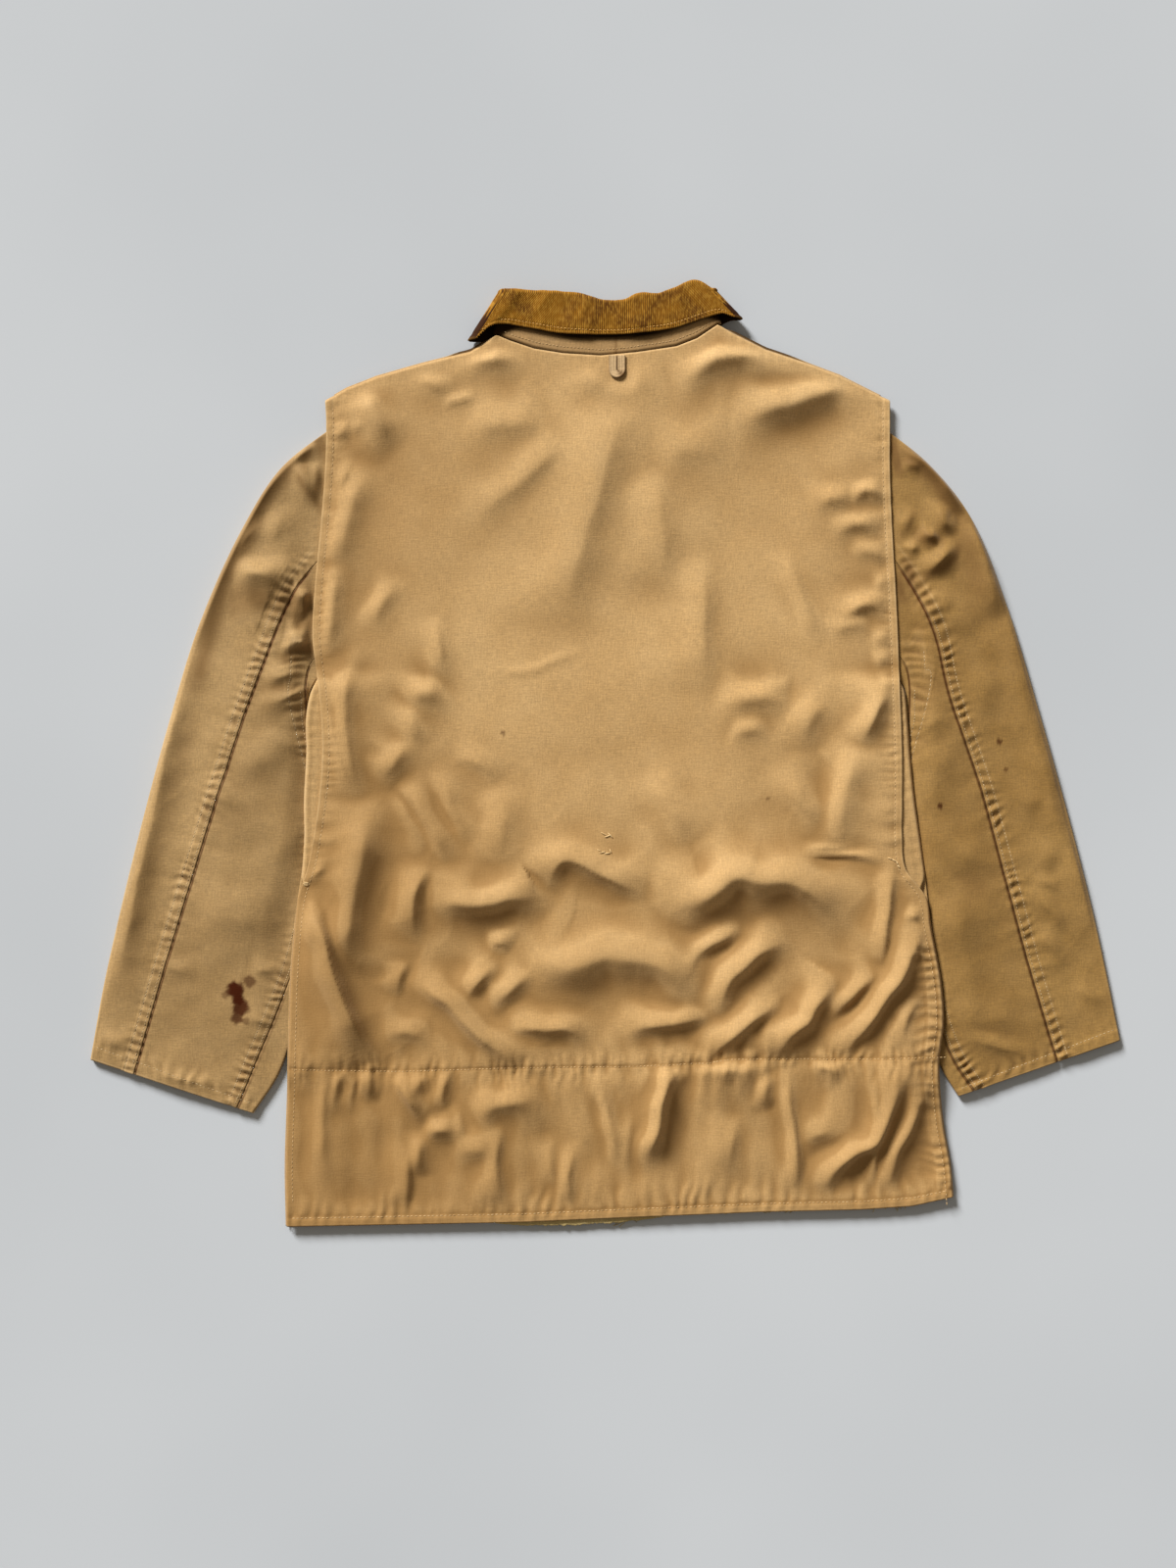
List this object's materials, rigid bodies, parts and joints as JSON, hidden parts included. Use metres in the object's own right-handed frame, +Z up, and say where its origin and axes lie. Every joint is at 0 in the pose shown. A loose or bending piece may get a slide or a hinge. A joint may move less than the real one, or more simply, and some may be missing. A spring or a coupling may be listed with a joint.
{
  "type": "hunting jacket",
  "caption": "Tan cotton canvas hunting jacket with a corduroy collar, laid out flat on its front, with a free-edged outer back panel.",
  "frame": {"origin": "middle of the underside, on the surface that the jacket lies on", "axes": "+Z up from that surface, +Y from hem to collar, +X toward the wearer's right sleeve"},
  "size_m": [0.9032, 0.8268, 0.0176],
  "materials": {
    "canvas_back": "matte",
    "canvas_body": "matte",
    "canvas_sleeve": "matte",
    "corduroy": "matte",
    "lining_cloth": "matte"
  },
  "bodies": {
    "root": {"back_panel": "canvas_back", "under_back": "canvas_body", "front_left": "canvas_body", "front_right": "canvas_body", "sleeve_left_top": "canvas_sleeve", "sleeve_left_under": "canvas_sleeve", "sleeve_right_top": "canvas_sleeve", "sleeve_right_under": "canvas_sleeve", "collar_top": "corduroy", "collar_under": "canvas_back", "hanger_loop": "canvas_body", "lining": "lining_cloth"}
  },
  "joints": []
}
